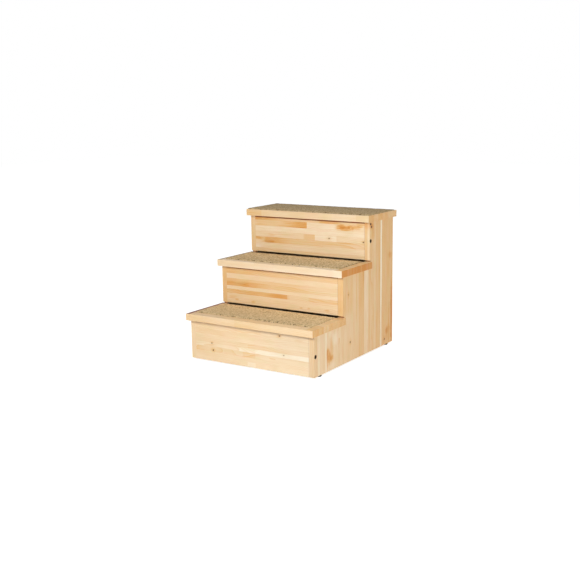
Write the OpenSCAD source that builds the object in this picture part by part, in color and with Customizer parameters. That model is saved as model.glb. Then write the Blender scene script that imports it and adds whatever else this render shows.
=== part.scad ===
// Three-step mounting block of edge-glued pine with a carpet mat on every tread.
// Millimetres, +Z up. The origin is on the floor at the middle of the footprint,
// and the steps climb towards +Y.

/* [Steps] */
// Length of every tread, from its left end to its right end
tread_length = 400; // [390:5:460]
// Thickness of every tread
tread_thickness = 18; // [16:0.5:22]
// Distance from one riser face back to the next
step_going = 145; // [135:1:165]
// Height from one tread top up to the next
step_rise = 126.5; // [115:0.5:140]
// Height of the lowest tread top above the bottom edge of the side panels
first_rise = 124.5; // [115:0.5:140]
// How far a tread reaches out in front of its riser
nosing = 15; // [8:1:20]
// How far a tread reaches out past the outer face of each side panel
side_overhang = 5; // [2:0.5:12]
// How far a tread runs in behind the face of the riser above it
rear_tuck = 5; // [3:0.5:10]
// How far the upper tread reaches out behind the side panels
rear_overhang = 12; // [6:1:16]

/* [Boards] */
// Thickness of the side panels and the risers
board_thickness = 15; // [14:0.5:16]
// Open slot between a tread top and the riser above it
riser_gap = 4; // [3:0.5:6]
// Thickness of the plywood back panel
back_thickness = 5; // [4:0.5:6]
// Width of the rebate that the back panel sits in
rebate_width = 8; // [7:0.5:9]

/* [Carpet mats] */
// Thickness of the mats
mat_thickness = 2.5; // [2:0.25:3]
// Length of the lower mat
lower_mat_length = 363; // [350:1:370]
// Length of the middle mat
middle_mat_length = 363; // [350:1:370]
// Length of the upper mat
upper_mat_length = 397; // [370:1:398]
// Depth of the lower mat, from its front edge to its rear edge
lower_mat_depth = 121; // [100:1:124]
// Depth of the middle mat, from its front edge to its rear edge
middle_mat_depth = 127; // [100:1:130]
// Depth of the upper mat, from its front edge to its rear edge
upper_mat_depth = 148; // [120:1:152]
// Sideways shift of the lower mat from the middle of its tread
lower_mat_shift = -4.5; // [-8:0.5:8]
// Sideways shift of the middle mat from the middle of its tread
middle_mat_shift = -3.5; // [-8:0.5:8]
// Sideways shift of the upper mat from the middle of its tread
upper_mat_shift = -0.5; // [-1:0.5:1]
// Bare wood in front of the lower mat
lower_mat_border = 28; // [20:0.5:30]
// Bare wood in front of the middle mat
middle_mat_border = 21.5; // [16:0.5:24]
// Bare wood in front of the upper mat
upper_mat_border = 6.5; // [4:0.5:10]
// Turn of the middle mat on its tread, in degrees
middle_mat_turn = 0.75; // [-1:0.25:1]

/* [Battens] */
// Side of the square battens under the treads
batten_side = 18; // [16:1:20]
// Length of the battens
batten_length = 106; // [90:1:110]

/* [Feet] */
// Diameter of a rubber foot
foot_diameter = 14; // [8:0.5:15]
// Height of a rubber foot
foot_height = 4.5; // [3:0.5:8]
// Distance from the front edge of the side panels back to the front feet
front_foot_inset = 33.5; // [15:0.5:60]
// Distance from the rear edge of the side panels forward to the rear feet
rear_foot_inset = 29; // [15:0.5:60]

/* [Fastenings] */
// Diameter of the connecting screw heads that show on the side panels
riser_screw_head = 9; // [8.5:0.1:9.5]
// Distance from a riser's face back to the middle of its connecting screws
riser_screw_setback = 6; // [6:0.5:8]
// Diameter of the dowels
dowel_diameter = 6; // [5:1:8]
// Length of the dowels
dowel_length = 30; // [26:1:32]

/* [Hidden] */

$fn = 48;
LOWER = 0;
MIDDLE = 1;
UPPER = 2;
STEPS = [LOWER, MIDDLE, UPPER];
LEFT = -1;
RIGHT = 1;
SIDES = [LEFT, RIGHT];
FRONT = -1;
REAR = 1;
ENDS = [FRONT, REAR];
eps = 0.01;
play = 0.1;
board_slack = 0.5;

pale_pine = [0.94, 0.82, 0.64];
warm_pine = [0.90, 0.75, 0.54];
plywood = [0.86, 0.72, 0.53];
beech = [0.80, 0.62, 0.43];
khaki_carpet = [0.73, 0.64, 0.48];
black_rubber = [0.06, 0.06, 0.06];
dark_steel = [0.16, 0.13, 0.11];
bright_steel = [0.72, 0.72, 0.70];

// Overall layout
tread_depth = nosing + step_going + rear_tuck;
body_width = tread_length - 2 * side_overhang;
inner_width = body_width - 2 * board_thickness;
footprint_depth = 2 * step_going + tread_depth;
first_riser_y = -footprint_depth / 2 + nosing;
panel_depth = footprint_depth - nosing - rear_overhang;
panel_rear_y = first_riser_y + panel_depth;
panel_centre_x = body_width / 2 - board_thickness / 2;

// Feet and floor
panel_bottom_z = foot_height;
foot_rim_radius = 1.2;
foot_recess = [5, 2.2];
nail_shank = 2;
nail_length = 20;
nail_head = [4.6, 1];

// Connecting screws through the side panels into the lower and upper risers
screw_recess_depth = 2;
riser_screw_head_height = 3;
riser_screw_shank = 7;
riser_screw_core = 5;
riser_screw_core_length = 35;
riser_screw_socket = [4, 2];
counterbore = [riser_screw_head + 4 * play, screw_recess_depth + riser_screw_head_height];

// Dowels
riser_dowel_offset = 34;
riser_dowel_in_side = 9;
tread_dowel_in_tread = 11;
tread_dowel_inset = 24;

// Countersunk wood screws: shank diameter and length
batten_screw = [3.5, 28];
tread_screw = [3.5, 29];
back_screw = [3, 15];
countersunk_head_ratio = 2;
screw_sink = 0.2;
batten_side_screw_inset = 14;
batten_tread_screw_inset = 36;
screw_cross = [0.6, 0.12, 0.6];
back_screws_per_side = 4;
back_screw_margin = 26;

// Battens stand this far behind the riser face of their own step
batten_setback = 22;
upper_batten_setback = 16;

function riser_y(step) = first_riser_y + step * step_going;
function tread_top_z(step) = panel_bottom_z + first_rise + step * step_rise;
function tread_bottom_z(step) = tread_top_z(step) - tread_thickness;
function riser_bottom_z(step) = step == LOWER ? panel_bottom_z : tread_top_z(step - 1) + riser_gap;
function riser_middle_z(step) = (riser_bottom_z(step) + tread_bottom_z(step)) / 2;
function batten_front_y(step) = riser_y(step)
    + (step == UPPER ? upper_batten_setback : batten_setback);
function foot_y(end) = end == FRONT ? first_riser_y + front_foot_inset
                                    : panel_rear_y - rear_foot_inset;
function back_screw_z(row) = panel_bottom_z + back_screw_margin
    + row * (tread_bottom_z(UPPER) - panel_bottom_z - 2 * back_screw_margin)
    / (back_screws_per_side - 1);

// ---------------------------------------------------------------- fastenings

// Countersunk screw with its head's top at the origin, pointing down
module wood_screw(size) {
    head = size[0] * countersunk_head_ratio;
    head_height = (head - size[0]) / 2;
    tip_height = size[0];
    difference() {
        union() {
            translate([0, 0, -head_height])
                cylinder(d1 = size[0], d2 = head, h = head_height);
            translate([0, 0, -size[1] + tip_height])
                cylinder(d = size[0], h = size[1] - tip_height - head_height + eps);
            translate([0, 0, -size[1]])
                cylinder(d1 = size[0] / 3, d2 = size[0], h = tip_height + eps);
        }
        for (turn = [0, 90]) {
            rotate([0, 0, turn])
                translate([
                    -head * screw_cross[0] / 2,
                    -head * screw_cross[1] / 2,
                    -head_height * screw_cross[2]
                ])
                    cube([head * screw_cross[0], head * screw_cross[1], head_height]);
        }
    }
}

// Hole that clears a sunk countersunk screw, with its mouth at the origin
module wood_screw_hole(size) {
    head = size[0] * countersunk_head_ratio;
    head_height = (head - size[0]) / 2;
    translate([0, 0, -head_height - screw_sink])
        cylinder(d1 = size[0] + 2 * play, d2 = head + 2 * play, h = head_height);
    translate([0, 0, -screw_sink - eps])
        cylinder(d = head + 2 * play, h = screw_sink + 1);
    translate([0, 0, -size[1] - screw_sink - play])
        cylinder(d = size[0] + 2 * play, h = size[1]);
}

// Connecting screw with its head's top at the origin, pointing down
module riser_screw() {
    difference() {
        union() {
            translate([0, 0, -riser_screw_head_height])
                cylinder(d = riser_screw_head, h = riser_screw_head_height);
            translate([0, 0, -board_thickness + screw_recess_depth])
                cylinder(d = riser_screw_shank, h = board_thickness - screw_recess_depth - eps);
            translate([0, 0, -board_thickness + screw_recess_depth - riser_screw_core_length])
                cylinder(d = riser_screw_core, h = riser_screw_core_length + eps);
        }
        translate([0, 0, -riser_screw_socket[1]])
            cylinder(d = riser_screw_socket[0] / cos(30), h = riser_screw_socket[1] + 1, $fn = 6);
    }
}

// Stepped hole for a connecting screw, with its mouth at the origin
module riser_screw_hole() {
    translate([0, 0, -counterbore[1]])
        cylinder(d = counterbore[0], h = counterbore[1] + 1);
    translate([0, 0, -board_thickness])
        cylinder(d = riser_screw_shank + 2 * play, h = board_thickness);
    translate([0, 0, -board_thickness - riser_screw_core_length - 1])
        cylinder(d = riser_screw_core + 2 * play, h = board_thickness + riser_screw_core_length);
}

// Dowel with rounded-off ends, standing with its lower end at the origin
module dowel() {
    bevel = dowel_diameter / 6;
    straight = dowel_length - 2 * bevel;
    cylinder(d1 = dowel_diameter - 2 * bevel, d2 = dowel_diameter, h = bevel);
    translate([0, 0, bevel])
        cylinder(d = dowel_diameter, h = straight);
    translate([0, 0, bevel + straight])
        cylinder(d1 = dowel_diameter, d2 = dowel_diameter - 2 * bevel, h = bevel);
}

// Hole for a dowel, a little wider and longer than the dowel itself
module dowel_hole() {
    translate([0, 0, -board_slack])
        cylinder(d = dowel_diameter + play, h = dowel_length + 2 * board_slack);
}

// ------------------------------------------------------- fastening positions

// Children point down into the right side panel at a riser's middle height
module at_riser_screw(step) {
    translate([body_width / 2, riser_y(step) + riser_screw_setback, riser_middle_z(step)])
        rotate([0, 90, 0])
            children();
}

// Children stand across the joint between the right side panel and a riser
module at_riser_dowels(step) {
    for (end = ENDS) {
        translate([
            inner_width / 2 + riser_dowel_in_side - dowel_length,
            riser_y(step) + board_thickness / 2,
            riser_middle_z(step) + end * riser_dowel_offset
        ])
            rotate([0, 90, 0])
                children();
    }
}

// Children stand across the joint between the right side panel and a tread
module at_tread_dowels(step) {
    for (y = [tread_dowel_inset, step_going - tread_dowel_inset + rear_tuck]) {
        translate([
            panel_centre_x,
            riser_y(step) + y,
            tread_bottom_z(step) + tread_dowel_in_tread - dowel_length
        ])
            children();
    }
}

// Children point through the right batten into the side panel
module at_batten_screws(step) {
    for (y = [batten_side_screw_inset, batten_length - batten_side_screw_inset]) {
        translate([
            inner_width / 2 - batten_side,
            batten_front_y(step) + y,
            tread_bottom_z(step) - batten_side / 2
        ])
            rotate([0, -90, 0])
                children();
    }
}

// Children point up through the right batten into the tread
module at_tread_screws(step) {
    for (y = [batten_tread_screw_inset, batten_length - batten_tread_screw_inset]) {
        translate([
            inner_width / 2 - batten_side / 2,
            batten_front_y(step) + y,
            tread_bottom_z(step) - batten_side
        ])
            rotate([180, 0, 0])
                children();
    }
}

// Children point forwards through the right edge of the back panel
module at_back_screws() {
    for (row = [0 : back_screws_per_side - 1]) {
        translate([
            inner_width / 2 + rebate_width / 2,
            panel_rear_y,
            back_screw_z(row)
        ])
            rotate([-90, 0, 0])
                children();
    }
}

// Children are placed under one corner of the block, on the floor
module at_foot(side, end) {
    translate([side * panel_centre_x, foot_y(end), 0])
        children();
}

// Draws the children on the right and again mirrored on the left
module both_sides() {
    children();
    mirror([1, 0, 0])
        children();
}

// --------------------------------------------------------------------- boards

// Side outline: front edge, notch and shelf of each step, then the rear edge
module side_outline() {
    notch_depth = rear_tuck + board_slack;
    front_points = [
        for (step = STEPS)
            each [
                [step * step_going, riser_bottom_z(step) - panel_bottom_z],
                [step * step_going, tread_bottom_z(step) - panel_bottom_z],
                if (step != UPPER)
                    [(step + 1) * step_going + notch_depth, tread_bottom_z(step) - panel_bottom_z],
                if (step != UPPER)
                    [(step + 1) * step_going + notch_depth,
                     riser_bottom_z(step + 1) - panel_bottom_z]
            ]
    ];
    rear_points = [
        [panel_depth, tread_bottom_z(UPPER) - panel_bottom_z],
        [panel_depth, 0]
    ];
    polygon(concat(front_points, rear_points));
}

// Right side panel in place, with its rebate and all its holes
module bored_side_panel() {
    difference() {
        translate([inner_width / 2, first_riser_y, panel_bottom_z])
            rotate([90, 0, 90])
                linear_extrude(height = board_thickness)
                    side_outline();
        translate([inner_width / 2 - 1, panel_rear_y - back_thickness, panel_bottom_z - 1])
            cube([rebate_width + 1, back_thickness + 1, tread_top_z(UPPER)]);
        for (step = [LOWER, UPPER]) {
            at_riser_screw(step)
                riser_screw_hole();
        }
        for (step = STEPS) {
            at_riser_dowels(step)
                dowel_hole();
            at_tread_dowels(step)
                dowel_hole();
            at_batten_screws(step)
                wood_screw_hole(batten_screw);
        }
        at_back_screws()
            wood_screw_hole(back_screw);
        for (end = ENDS) {
            at_foot(RIGHT, end)
                cylinder(d = nail_shank + play, h = panel_bottom_z + nail_length);
        }
    }
}

module left_side_panel() {
    color(warm_pine)
        mirror([1, 0, 0])
            bored_side_panel();
}

module right_side_panel() {
    color(warm_pine)
        bored_side_panel();
}

// Board between the side panels with its face flush with their front edges
module riser(step) {
    color(pale_pine)
        difference() {
            translate([-inner_width / 2, riser_y(step), riser_bottom_z(step)])
                cube([inner_width, board_thickness, tread_bottom_z(step) - riser_bottom_z(step)]);
            both_sides() {
                at_riser_dowels(step)
                    dowel_hole();
                if (step != MIDDLE)
                    at_riser_screw(step)
                        riser_screw_hole();
            }
        }
}

// Tread resting on the side panels, the riser and its two battens
module tread(step) {
    color(pale_pine)
        difference() {
            translate([-tread_length / 2, riser_y(step) - nosing, tread_bottom_z(step)])
                cube([tread_length, tread_depth, tread_thickness]);
            both_sides() {
                at_tread_dowels(step)
                    dowel_hole();
                at_tread_screws(step)
                    wood_screw_hole(tread_screw);
            }
        }
}

// Square batten in the corner under the right end of a tread
module bored_batten(step) {
    difference() {
        translate([
            inner_width / 2 - batten_side,
            batten_front_y(step),
            tread_bottom_z(step) - batten_side
        ])
            cube([batten_side, batten_length, batten_side]);
        at_batten_screws(step)
            wood_screw_hole(batten_screw);
        at_tread_screws(step)
            wood_screw_hole(tread_screw);
    }
}

module right_batten(step) {
    color(warm_pine)
        bored_batten(step);
}

module left_batten(step) {
    color(warm_pine)
        mirror([1, 0, 0])
            bored_batten(step);
}

// Thin board that closes the back, let into the side panels
module back_panel() {
    width = inner_width + 2 * (rebate_width - board_slack);
    height = tread_bottom_z(UPPER) - panel_bottom_z - board_slack;
    color(plywood)
        difference() {
            translate([-width / 2, panel_rear_y - back_thickness, panel_bottom_z])
                cube([width, back_thickness, height]);
            both_sides()
                at_back_screws()
                    wood_screw_hole(back_screw);
        }
}

// ---------------------------------------------------------------- soft pieces

// Flat carpet mat lying on a tread
module mat(step, length, depth, shift, border, turn = 0) {
    color(khaki_carpet)
        translate([
            shift,
            riser_y(step) - nosing + border + depth / 2,
            tread_top_z(step) + mat_thickness / 2
        ])
            rotate([0, 0, turn])
                cube([length, depth, mat_thickness], center = true);
}

module lower_mat() {
    mat(LOWER, lower_mat_length, lower_mat_depth, lower_mat_shift, lower_mat_border);
}

module middle_mat() {
    mat(MIDDLE, middle_mat_length, middle_mat_depth, middle_mat_shift, middle_mat_border, middle_mat_turn);
}

module upper_mat() {
    mat(UPPER, upper_mat_length, upper_mat_depth, upper_mat_shift, upper_mat_border);
}

// Round rubber foot with a softened rim and a recess for its nail
module rubber_foot(side, end) {
    radius = foot_diameter / 2;
    color(black_rubber)
        at_foot(side, end)
            difference() {
                rotate_extrude() {
                    square([radius - foot_rim_radius, foot_height]);
                    translate([0, foot_rim_radius])
                        square([radius, foot_height - foot_rim_radius]);
                    translate([radius - foot_rim_radius, foot_rim_radius])
                        intersection() {
                            circle(r = foot_rim_radius);
                            translate([0, -foot_rim_radius])
                                square(foot_rim_radius);
                        }
                }
                translate([0, 0, -1])
                    cylinder(d = foot_recess[0], h = foot_recess[1] + 1);
                cylinder(d = nail_shank + 2 * play, h = foot_height + 1);
            }
}

// ----------------------------------------------------------- fastening groups

module riser_screws() {
    color(dark_steel)
        both_sides()
            for (step = [LOWER, UPPER])
                at_riser_screw(step)
                    translate([0, 0, -screw_recess_depth])
                        riser_screw();
}

module riser_dowels() {
    color(beech)
        both_sides()
            for (step = STEPS)
                at_riser_dowels(step)
                    dowel();
}

module tread_dowels() {
    color(beech)
        both_sides()
            for (step = STEPS)
                at_tread_dowels(step)
                    dowel();
}

module batten_screws() {
    color(bright_steel)
        both_sides()
            for (step = STEPS)
                at_batten_screws(step)
                    translate([0, 0, -screw_sink])
                        wood_screw(batten_screw);
}

module tread_screws() {
    color(bright_steel)
        both_sides()
            for (step = STEPS)
                at_tread_screws(step)
                    translate([0, 0, -screw_sink])
                        wood_screw(tread_screw);
}

module back_screws() {
    color(bright_steel)
        both_sides()
            at_back_screws()
                translate([0, 0, -screw_sink])
                    wood_screw(back_screw);
}

module foot_nails() {
    color(bright_steel)
        for (side = SIDES, end = ENDS)
            at_foot(side, end)
                translate([0, 0, foot_recess[1] - nail_head[1]]) {
                    cylinder(d = nail_head[0], h = nail_head[1]);
                    cylinder(d = nail_shank, h = nail_length);
                }
}

left_side_panel();
right_side_panel();
riser(LOWER);  // lower_riser
riser(MIDDLE);  // middle_riser
riser(UPPER);  // upper_riser
tread(LOWER);  // lower_tread
tread(MIDDLE);  // middle_tread
tread(UPPER);  // upper_tread
lower_mat();
middle_mat();
upper_mat();
back_panel();
left_batten(LOWER);  // lower_left_batten
right_batten(LOWER);  // lower_right_batten
left_batten(MIDDLE);  // middle_left_batten
right_batten(MIDDLE);  // middle_right_batten
left_batten(UPPER);  // upper_left_batten
right_batten(UPPER);  // upper_right_batten
rubber_foot(LEFT, FRONT);  // front_left_foot
rubber_foot(RIGHT, FRONT);  // front_right_foot
rubber_foot(LEFT, REAR);  // rear_left_foot
rubber_foot(RIGHT, REAR);  // rear_right_foot
riser_screws();
riser_dowels();
tread_dowels();
batten_screws();
tread_screws();
back_screws();
foot_nails();
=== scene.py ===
"""Looks of the three-step mounting block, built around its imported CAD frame.

Lengths in the recipes are in millimetres, because boards and yarn are measured that way.
Everything that reaches Blender is in metres, in the frame's own axes: -Y is the front.
"""
import math
from functools import partialmethod
from itertools import product
from typing import NamedTuple

import bpy
import numpy as np
from mathutils import Euler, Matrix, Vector


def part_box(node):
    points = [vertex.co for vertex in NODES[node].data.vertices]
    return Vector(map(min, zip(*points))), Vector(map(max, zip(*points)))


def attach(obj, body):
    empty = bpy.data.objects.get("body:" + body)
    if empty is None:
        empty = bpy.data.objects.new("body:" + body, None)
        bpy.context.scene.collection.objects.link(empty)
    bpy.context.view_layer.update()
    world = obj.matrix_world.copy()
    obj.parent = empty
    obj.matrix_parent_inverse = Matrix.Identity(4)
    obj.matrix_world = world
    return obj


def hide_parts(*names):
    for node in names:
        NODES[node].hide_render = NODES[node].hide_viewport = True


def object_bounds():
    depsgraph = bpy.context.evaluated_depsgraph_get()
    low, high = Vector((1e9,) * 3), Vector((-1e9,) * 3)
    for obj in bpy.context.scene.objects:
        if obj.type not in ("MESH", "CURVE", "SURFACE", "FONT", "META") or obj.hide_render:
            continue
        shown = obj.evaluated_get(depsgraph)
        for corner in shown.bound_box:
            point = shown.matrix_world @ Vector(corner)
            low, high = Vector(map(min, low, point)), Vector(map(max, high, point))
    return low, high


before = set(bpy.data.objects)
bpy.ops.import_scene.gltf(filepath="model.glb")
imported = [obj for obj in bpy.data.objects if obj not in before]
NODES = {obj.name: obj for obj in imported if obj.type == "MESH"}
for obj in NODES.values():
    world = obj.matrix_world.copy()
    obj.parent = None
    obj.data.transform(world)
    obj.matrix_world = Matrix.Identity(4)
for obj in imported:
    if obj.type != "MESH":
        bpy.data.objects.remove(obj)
CAD_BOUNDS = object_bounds()
MM = 0.001
STEPS = ("lower", "middle", "upper")


def put(name, data):
    """A new object in the scene."""
    piece = bpy.data.objects.new(name, data)
    bpy.context.scene.collection.objects.link(piece)
    return piece


# ---- node trees

class Signal:
    """One number in a material's node tree. Arithmetic on it adds Math nodes."""

    def __init__(self, graph, socket):
        self.graph = graph
        self.socket = socket

    def math(self, operation, *others, clamp=False):
        node = self.graph.add("ShaderNodeMath", operation=operation, use_clamp=clamp)
        for place, value in enumerate((self, *others)):
            self.graph.feed(node.inputs[place], value)
        return Signal(self.graph, node.outputs[0])

    __add__ = __radd__ = partialmethod(math, "ADD")
    __sub__ = partialmethod(math, "SUBTRACT")
    __mul__ = __rmul__ = partialmethod(math, "MULTIPLY")
    __truediv__ = partialmethod(math, "DIVIDE")
    __pow__ = partialmethod(math, "POWER")
    floor = partialmethod(math, "FLOOR")
    fract = partialmethod(math, "FRACT")
    abs = partialmethod(math, "ABSOLUTE")
    exp = partialmethod(math, "EXPONENT")
    most = partialmethod(math, "MAXIMUM")
    above = partialmethod(math, "GREATER_THAN")
    below = partialmethod(math, "LESS_THAN")
    clamp = partialmethod(math, "ADD", 0.0, clamp=True)

    def __neg__(self):
        return self * -1.0

    def __rsub__(self, other):
        return -self + other

    def reach(self, other):
        """The length of a step with the parts self and other."""
        return (self * self + other * other).math("SQRT")

    def smooth(self, start, stop):
        """0 before start, 1 after stop, eased between them; start may be above stop."""
        node = self.graph.add("ShaderNodeMapRange", interpolation_type="SMOOTHSTEP")
        for place, value in enumerate((self, min(start, stop), max(start, stop))):
            self.graph.feed(node.inputs[place], value)
        eased = Signal(self.graph, node.outputs[0])
        return eased if start <= stop else 1.0 - eased


class Graph:
    """Short calls that build one material's node tree."""

    def __init__(self, name):
        self.material = bpy.data.materials.new(name)
        self.material.use_nodes = True
        self.tree = self.material.node_tree
        self.tree.nodes.clear()

    def add(self, kind, **settings):
        node = self.tree.nodes.new(kind)
        for key, value in settings.items():
            setattr(node, key, value)
        return node

    def feed(self, socket, value):
        """Links a signal or a socket to an input, or sets the input to a plain value."""
        value = getattr(value, "socket", value)
        if isinstance(value, bpy.types.NodeSocket):
            self.tree.links.new(value, socket)
        else:
            socket.default_value = value

    def axes(self, output):
        parts = self.add("ShaderNodeSeparateXYZ")
        self.feed(parts.inputs[0], output)
        return [Signal(self, part) for part in parts.outputs]

    def place(self):
        """The point's x, y and z in the frame, in millimetres."""
        metres = self.axes(self.add("ShaderNodeTexCoord").outputs["Object"])
        return [axis * (1 / MM) for axis in metres]

    def normal(self):
        """The surface normal's x, y and z."""
        return self.axes(self.add("ShaderNodeNewGeometry").outputs["True Normal"])

    def vector(self, x, y, z):
        node = self.add("ShaderNodeCombineXYZ")
        for socket, value in zip(node.inputs, (x, y, z)):
            self.feed(socket, value)
        return node.outputs[0]

    def noise(self, x, y, z, detail=2.0):
        """Smooth noise from 0 to 1, about 0.5 in the middle, one lump per unit."""
        node = self.add("ShaderNodeTexNoise")
        self.feed(node.inputs["Vector"], self.vector(x, y, z))
        node.inputs["Scale"].default_value = 1.0
        node.inputs["Detail"].default_value = detail
        return Signal(self, node.outputs["Fac"])

    def chance(self, x, y, z=0.0):
        """An even random number from 0 to 1 for each whole value of its inputs."""
        node = self.add("ShaderNodeTexWhiteNoise", noise_dimensions="3D")
        self.feed(node.inputs["Vector"], self.vector(x, y, z))
        return Signal(self, node.outputs["Value"])

    def attribute(self, name):
        node = self.add("ShaderNodeAttribute", attribute_name=name)
        return Signal(self, node.outputs["Fac"])

    def ramp(self, factor, stops, interpolation="LINEAR"):
        """Colour at factor along stops, each a place from 0 to 1 and a colour."""
        node = self.add("ShaderNodeValToRGB")
        ramp = node.color_ramp
        ramp.interpolation = interpolation
        while len(ramp.elements) < len(stops):
            ramp.elements.new(1.0)
        for element, (place, colour) in zip(ramp.elements, stops):
            element.position = place
            element.color = (*colour, 1.0)
        self.feed(node.inputs[0], factor)
        return node.outputs["Color"]

    def mix(self, factor, first, second, blend="MIX"):
        """Mixes two colours."""
        node = self.add("ShaderNodeMix", data_type="RGBA", blend_type=blend)
        self.feed(node.inputs["Factor"], factor)
        for name, value in (("A", first), ("B", second)):
            socket = [s for s in node.inputs if s.name == name and s.type == "RGBA"][0]
            self.feed(socket, (*value, 1.0) if isinstance(value, tuple) else value)
        return [s for s in node.outputs if s.type == "RGBA"][0]

    def finish(self, colour, roughness, relief=None, relief_mm=0.1, **extra):
        """Ends the tree with a Principled surface and returns the material."""
        surface = self.add("ShaderNodeBsdfPrincipled")
        output = self.add("ShaderNodeOutputMaterial")
        self.tree.links.new(surface.outputs[0], output.inputs["Surface"])
        self.feed(surface.inputs["Base Color"], colour)
        self.feed(surface.inputs["Roughness"], roughness)
        for name, value in extra.items():
            self.feed(surface.inputs[name.replace("_", " ").title().replace("Ior", "IOR")], value)
        if relief is not None:
            bump = self.add("ShaderNodeBump")
            bump.inputs["Strength"].default_value = 1.0
            bump.inputs["Distance"].default_value = relief_mm * MM
            self.feed(bump.inputs["Height"], relief)
            self.tree.links.new(bump.outputs[0], surface.inputs["Normal"])
        return self.material


def linear(red, green, blue):
    """A colour as a screen shows it, 0 to 255, in Blender's linear light."""
    shares = [value / 255 for value in (red, green, blue)]
    return tuple(s / 12.92 if s <= 0.04045 else ((s + 0.055) / 1.055) ** 2.4 for s in shares)


# ---- pine

# How pine darkens from sapwood (0) to resinous heartwood (1)
PINE_TONES = (
    (0.00, linear(252, 237, 212)),
    (0.20, linear(246, 222, 188)),
    (0.40, linear(239, 207, 164)),
    (0.60, linear(235, 192, 134)),
    (0.80, linear(229, 172, 98)),
    (1.00, linear(216, 142, 58)),
)
KNOT_BROWN = linear(92, 44, 24)
# Painted shade in the counterbores
BORE_SHADE_BROWN = linear(38, 20, 12)
# Painted shadow under the nosings and painted shade just above the treads; also darkens each
# riser's right end
SHADOW_AND_SEAM_BROWN = linear(150, 76, 26)
CREAM = linear(255, 248, 224)
PINK_BLUSH = linear(244, 196, 168)
OLIVE_BLUSH = linear(226, 206, 146)
# Painted shadow in the slots under the middle and upper risers
SLOT_SHADOW_BLACK = linear(12, 9, 7)
# Greyed colour of the painted shade on the lower step's right part
PALE_SHADE = linear(205, 185, 160)
GLUE_LINE = 0.25
SHORTEST_FADE = 0.4
# From a board's middle to its end, over which its tone drifts darker to the left, partly the
# wood's own tone and partly painted shade
HALF_WIDTH = 200.0
FIBRE_WIDTH = 0.7
STREAK_WIDTH = 3.2
CLOUD_WIDTH = 14.0
# How far a knot pushes the grain: in its radii across, and how much more along
KNOT_PUSH = 3.2
KNOT_PUSH_ALONG = 1.7
# How far the pith runs under the board, at least and at most beyond that
PITH_DEPTH = 9.0
PITH_SPREAD = 34.0
# Radius of the painted shade in and around a counterbore
BORE_SHADE_RADIUS = 4.6
TREAD_STRIP_WIDTH = 28.0
FINGER_JOINT_PITCH = 310.0
# Width of the dark band along the left end of a tread
RIM_WIDTH = 9.0
# How far the painted shadow of a slot comes out onto the tread in front of it
SLOT_SHADOW_REACH = 5.0
# Height up to which painted shade covers the lower step's right part
PALE_SHADE_TOP = 110.0


class Block(NamedTuple):
    """A length of one strip that is darker or paler, between two joints or fading out."""

    row: int
    start: float
    stop: float
    tone: float
    fade_in: float = SHORTEST_FADE
    fade_out: float = SHORTEST_FADE


class Stain(NamedTuple):
    """A ragged patch of darker or paler wood, given by its middle and half sizes."""

    along: float
    across: float
    length: float
    width: float
    tone: float


class Knot(NamedTuple):
    """A knot that the grain flows around."""

    along: float
    across: float
    radius: float
    dark: float = 1.0
    swirl: float = 1.0
    stretch: float = 1.2


def random_rows(seed, total, mean, tone=0.45, spread=0.13):
    """Strips of about the mean width that fill the total, each with its own tone."""
    rng = np.random.default_rng(seed)
    count = max(1, round(total / mean))
    widths = rng.uniform(0.8, 1.2, count)
    widths *= total / widths.sum()
    tones = tone + rng.uniform(-spread, spread, count)
    return list(zip(widths, tones))


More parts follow.
